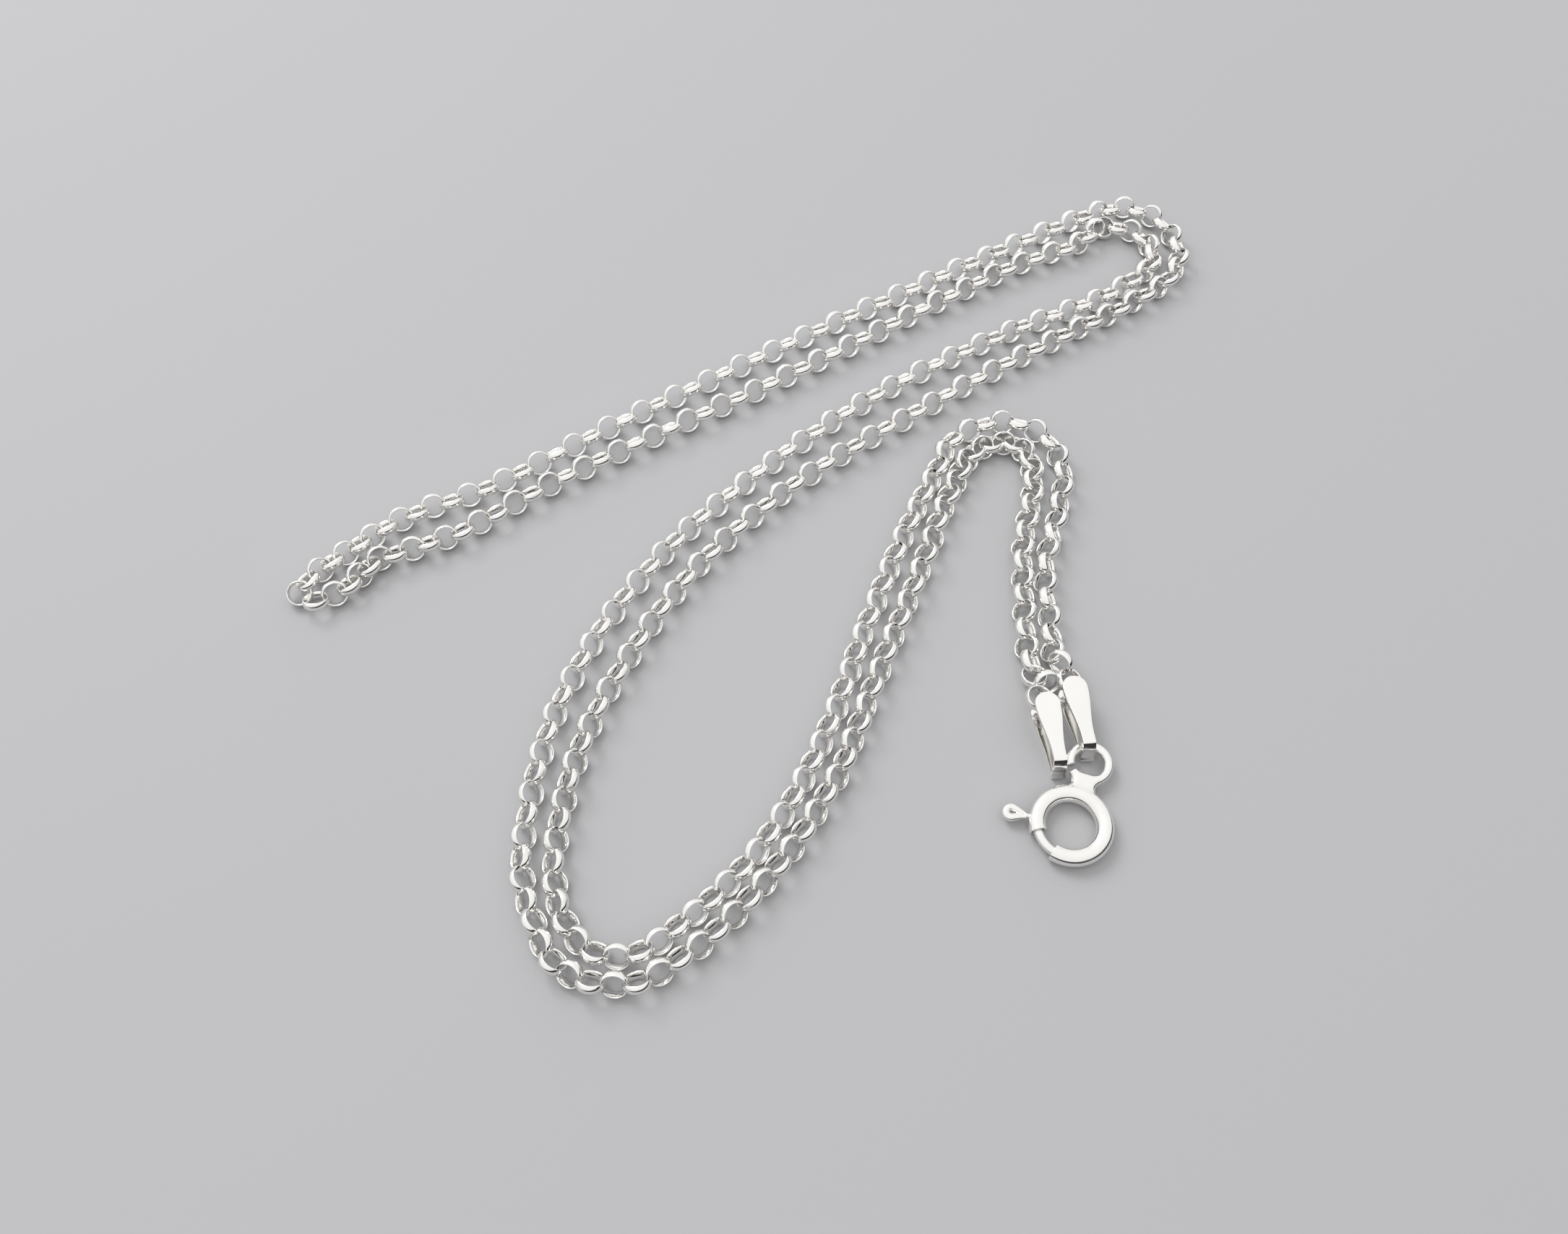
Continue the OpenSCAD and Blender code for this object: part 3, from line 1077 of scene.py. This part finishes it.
@dataclass
class Studio:
    """Pale floor, soft light and the camera at the photograph's angle.

    The eye and the floor's half side are in millimetres, the clip distances and the panel in metres. The
    dome's stops are rows of closeness to its middle, as a cosine, and brightness.
    """

    image_w: int = 2170
    focal_px: float = 1815.0
    pitch: float = 61.0
    eye: tuple[float, float, float] = (0.847, -49.39, 77.595)
    sensor: float = 36.0
    clip: tuple[float, float] = (0.002, 5.0)
    floor_half: float = 800
    floor_colour: tuple[float, float, float] = (0.42, 0.42, 0.43)
    floor_rough: float = 0.75
    panel_at: tuple[float, float, float] = (-0.3, 0.36, 0.45)
    panel_side: float = 0.3
    panel_power: float = 2.0
    dome: tuple[float, float, float] = (-0.2, 0.3, 0.93)
    dome_stops: tuple[tuple[float, float], ...] = ((0.0, 0.03), (0.02, 0.05), (0.13, 0.85), (1.0, 1.0))
    dome_power: float = 1.05

    def camera(self) -> None:
        """The camera, from its measured place, pitch and focal length."""
        data = bpy.data.cameras.new("camera")
        data.sensor_width = self.sensor
        data.lens = self.focal_px * self.sensor / self.image_w
        data.clip_start, data.clip_end = self.clip
        made = bpy.data.objects.new("camera", data)
        made.location = Vector(self.eye) * MM
        made.rotation_euler = (math.radians(90 - self.pitch), 0, 0)
        bpy.context.scene.collection.objects.link(made)
        bpy.context.scene.camera = made

    def floor(self) -> None:
        """A plain pale floor."""
        mesh = bmesh.new()
        bmesh.ops.create_grid(mesh, x_segments=1, y_segments=1, size=self.floor_half)
        surface = bpy.data.materials.new("floor_pale")
        surface.use_nodes = True
        sheet = Sheet(surface.node_tree)
        shader = sheet.node("ShaderNodeBsdfPrincipled", {}, {
            "Base Color": self.floor_colour + (1,), "Roughness": self.floor_rough})
        sheet.node("ShaderNodeOutputMaterial", {}, {"Surface": shader.outputs[0]})
        SHOP.piece("floor", mesh, surface)

    def softbox(self, name: str, place: tuple[float, float, float], size: float, power: float) -> None:
        """A square light that faces the middle of the table.

        Args:
            name: Its name.
            place: Its centre in metres.
            size: Its side in metres.
            power: Its power in watts.
        """
        data = bpy.data.lights.new(name, "AREA")
        data.size = size
        data.energy = power
        made = bpy.data.objects.new(name, data)
        made.location = place
        made.rotation_mode = "QUATERNION"
        made.rotation_quaternion = (-Vector(place)).to_track_quat("-Z", "Y")
        bpy.context.scene.collection.objects.link(made)

    def world(self) -> None:
        """Soft surroundings: a bright dome that leans away to the left, and darkness low on the near side."""
        made = bpy.data.worlds.new("surroundings")
        made.use_nodes = True
        sheet = Sheet(made.node_tree)
        where = sheet.node("ShaderNodeTexCoord", {}, {}).outputs["Generated"]
        closeness = sheet.node("ShaderNodeVectorMath", {"operation": "DOT_PRODUCT"},
                               {0: where, 1: Vector(self.dome).normalized()})
        ramp = sheet.node("ShaderNodeValToRGB", {"stops": self.dome_stops},
                          {"Fac": closeness.outputs["Value"]})
        light = sheet.node("ShaderNodeBackground", {}, {
            "Color": ramp.outputs["Color"], "Strength": self.dome_power})
        sheet.node("ShaderNodeOutputWorld", {}, {"Surface": light.outputs[0]})
        bpy.context.scene.world = made

    def build(self) -> None:
        """Sets up all of it."""
        self.camera()
        self.floor()
        self.softbox("sky_panel", self.panel_at, self.panel_side, self.panel_power)
        self.world()
        bpy.context.scene.view_settings.view_transform = "Standard"


CLASP_TAG_TURN = -82.5
CATCH_TAG_TURN = -83.5


def main() -> None:
    """Builds every sub-assembly in order and logs each piece."""
    logging.basicConfig(level=logging.INFO, format="%(name)s: %(message)s")
    Studio().build()
    chain, tags = CHAIN_SILVER.material(), TAG_SILVER.material()
    form = LinkForm()
    clasp = Clasp()
    pieces = [
        ChainSide("chain_links_clasp_side", "chain_clasp_side", FIRST_LINK, FOLD_LINK, form).build(chain),
        ChainSide("chain_links_catch_side", "chain_catch_side", FOLD_LINK + 1, LAST_LINK, form).build(chain),
        EndLink("end_link_clasp_band", "end_link_clasp", form, toward=CLASP_TAG_TURN + 90,
                tilt=24).build(chain),
        EndLink("end_link_catch_band", "end_link_catch", form, toward=CATCH_TAG_TURN + 90,
                tilt=12, shift=(-0.24, -0.12)).build(chain),
        Tag("tag_clasp_strip", "tag_clasp", end=(19.4, -11.65), turn=CLASP_TAG_TURN).build(tags),
        Tag("tag_catch_strip", "tag_catch", end=(17.55, -12.8), turn=CATCH_TAG_TURN).build(tags),
        clasp.build_ring(CLASP_SILVER.material()),
        clasp.build_bolt(BOLT_SILVER.material()),
    ]
    for piece in pieces:
        log.info("%s: %d faces", piece.name, len(piece.data.polygons))


if __name__ == "__main__":
    main()
